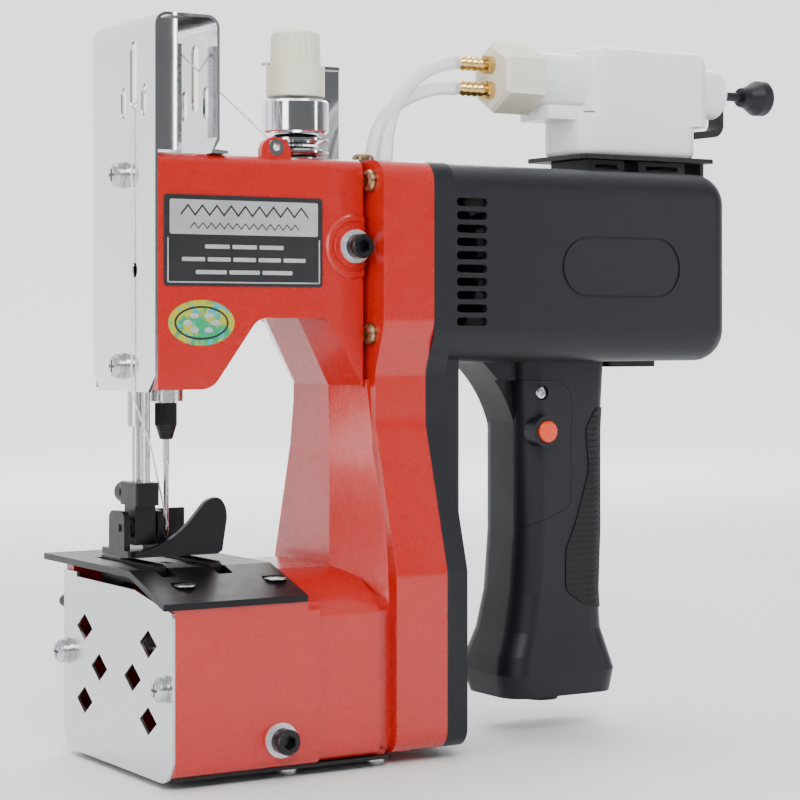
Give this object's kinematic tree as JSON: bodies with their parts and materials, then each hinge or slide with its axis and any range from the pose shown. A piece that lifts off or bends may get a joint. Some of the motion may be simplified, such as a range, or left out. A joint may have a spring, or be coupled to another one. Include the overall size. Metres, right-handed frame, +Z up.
{
  "type": "bag closer sewing machine",
  "caption": "Hand-held electric bag closer sewing machine with a red cast body, dark motor housing and handle, chrome thread guard and an oil bottle on top.",
  "frame": {"origin": "centre of the bottom of the whole machine's bounding box", "axes": "+Z up, +X from the needle towards the handle, -Y towards the side with the label"},
  "size_m": [0.3378, 0.1242, 0.3002],
  "materials": {
    "red_casting": "gloss",
    "chrome_sheet": "polished",
    "satin_sheet": "satin",
    "bright_screws": "satin",
    "dark_screws": "satin",
    "brass_screws": "satin",
    "brass": "satin",
    "black_sheet": "satin",
    "dark_plate": "satin",
    "black_plastic": "textured",
    "grip_rubber": "matte",
    "belt_rubber": "matte",
    "orange_plastic": "gloss",
    "cream_plastic": "satin",
    "bottle_plastic": "translucent satin",
    "hose_plastic": "translucent gloss",
    "label": "satin",
    "thread": "matte",
    "steel": "satin",
    "blackened_steel": "satin",
    "core_steel": "matte",
    "aluminium_wheel": "machined"
  },
  "bodies": {
    "machine": {"main_casting": "red_casting", "face_guard": "chrome_sheet", "plate_screws": "bright_screws", "box_front_plate": "satin_sheet", "bottom_cover": "black_sheet", "bottom_cover_screws": "bright_screws", "needle_plate": "dark_plate", "needle_plate_screws": "dark_screws", "head_side_cover": "chrome_sheet", "box_side_pin": "black_plastic", "cap_screws": "dark_screws", "flange_screws": "brass_screws", "belt_housing": "black_plastic", "motor_housing": "black_plastic", "handle_side_cover": "black_plastic", "side_cover_screw": "bright_screws", "handle_grip": "grip_rubber", "power_switch": "black_plastic", "cord_bush": "grip_rubber", "underside_clip": "black_sheet", "motor_stator": "core_steel", "brush_holders": "brass", "motor_bearings": "bright_screws", "motor_belt": "belt_rubber", "sync_belt": "belt_rubber", "shaft_bushes": "brass", "head_bushes": "steel", "lug_eyelet": "chrome_sheet", "tension_post": "steel", "tension_discs": "chrome_sheet", "thread_bracket": "chrome_sheet", "head_label": "label", "upper_threads": "thread", "oiler_bracket": "black_sheet", "oil_bottle": "bottle_plastic", "bottle_nut": "cream_plastic", "hose_barbs": "brass", "oil_hose_near": "hose_plastic", "oil_hose_far": "hose_plastic", "hose_grommets": "grip_rubber"},
    "motor": {"motor_armature": "core_steel", "cooling_fan": "black_plastic"},
    "lower_drive": {"lower_shaft": "steel", "lower_pulleys": "aluminium_wheel"},
    "main_drive": {"main_shaft": "steel", "upper_pulley": "aluminium_wheel"},
    "needle_drive": {"needle_bar": "steel", "connecting_rod": "aluminium_wheel", "needle_chuck": "blackened_steel", "needle": "steel", "needle_thread": "thread"},
    "looper_drive": {"looper": "steel"},
    "feed": {"feed_dog": "steel"},
    "presser": {"presser_bar": "steel", "presser_shank": "blackened_steel", "presser_spring": "steel"},
    "foot": {"presser_foot": "blackened_steel"},
    "tension_knob": {"tension_knob": "cream_plastic"},
    "button": {"push_button": "orange_plastic"},
    "plunger": {"pump_plunger": "black_plastic"}
  },
  "joints": [
    {"name": "motor_spin", "type": "hinge", "parent": "machine", "child": "motor", "pos_m": [0.0283, -0.0039, 0.2024], "axis": [1, 0, 0], "continuous": true},
    {"name": "lower_shaft_spin", "type": "hinge", "parent": "machine", "child": "lower_drive", "pos_m": [-0.0917, -0.0039, 0.045], "axis": [1, 0, 0], "continuous": true},
    {"name": "main_shaft_spin", "type": "hinge", "parent": "machine", "child": "main_drive", "pos_m": [-0.0917, -0.0039, 0.2024], "axis": [1, 0, 0], "continuous": true},
    {"name": "needle_bar_slide", "type": "slide", "parent": "machine", "child": "needle_drive", "axis": [0, 0, 1], "range_m": [-0.02, 0], "deforming": ["needle_thread"]},
    {"name": "looper_swing", "type": "hinge", "parent": "machine", "child": "looper_drive", "pos_m": [-0.1477, -0.0039, 0.05], "axis": [0, 1, 0], "range_deg": [-16, 0]},
    {"name": "feed_slide", "type": "slide", "parent": "machine", "child": "feed", "axis": [0, 1, 0], "range_m": [-0.0036, 0.0036]},
    {"name": "presser_bar_slide", "type": "slide", "parent": "machine", "child": "presser", "axis": [0, 0, 1], "range_m": [-0.0005, 0.006], "stiffness_N_per_m": 1500, "deforming": ["presser_spring"]},
    {"name": "presser_foot_tilt", "type": "hinge", "parent": "presser", "child": "foot", "pos_m": [-0.1543, -0.0069, 0.0967], "axis": [1, 0, 0], "range_deg": [-4, 4]},
    {"name": "tension_knob_turn", "type": "hinge", "parent": "machine", "child": "tension_knob", "pos_m": [-0.0882, -0.0139, 0.28], "axis": [0, 0, 1], "range_deg": [-360, 360]},
    {"name": "button_press", "type": "slide", "parent": "machine", "child": "button", "axis": [0, 1, 0], "range_m": [0, 0.002], "stiffness_N_per_m": 400},
    {"name": "oiler_plunger_push", "type": "slide", "parent": "machine", "child": "plunger", "axis": [-1, 0, 0], "range_m": [0, 0.008], "stiffness_N_per_m": 200}
  ],
  "couplings": [
    {"joint": "lower_shaft_spin", "follows": "motor_spin", "ratio": 0.25},
    {"joint": "main_shaft_spin", "follows": "motor_spin", "ratio": 0.25},
    {"joint": "looper_swing", "follows": "needle_bar_slide", "rad_per_m": 13}
  ]
}
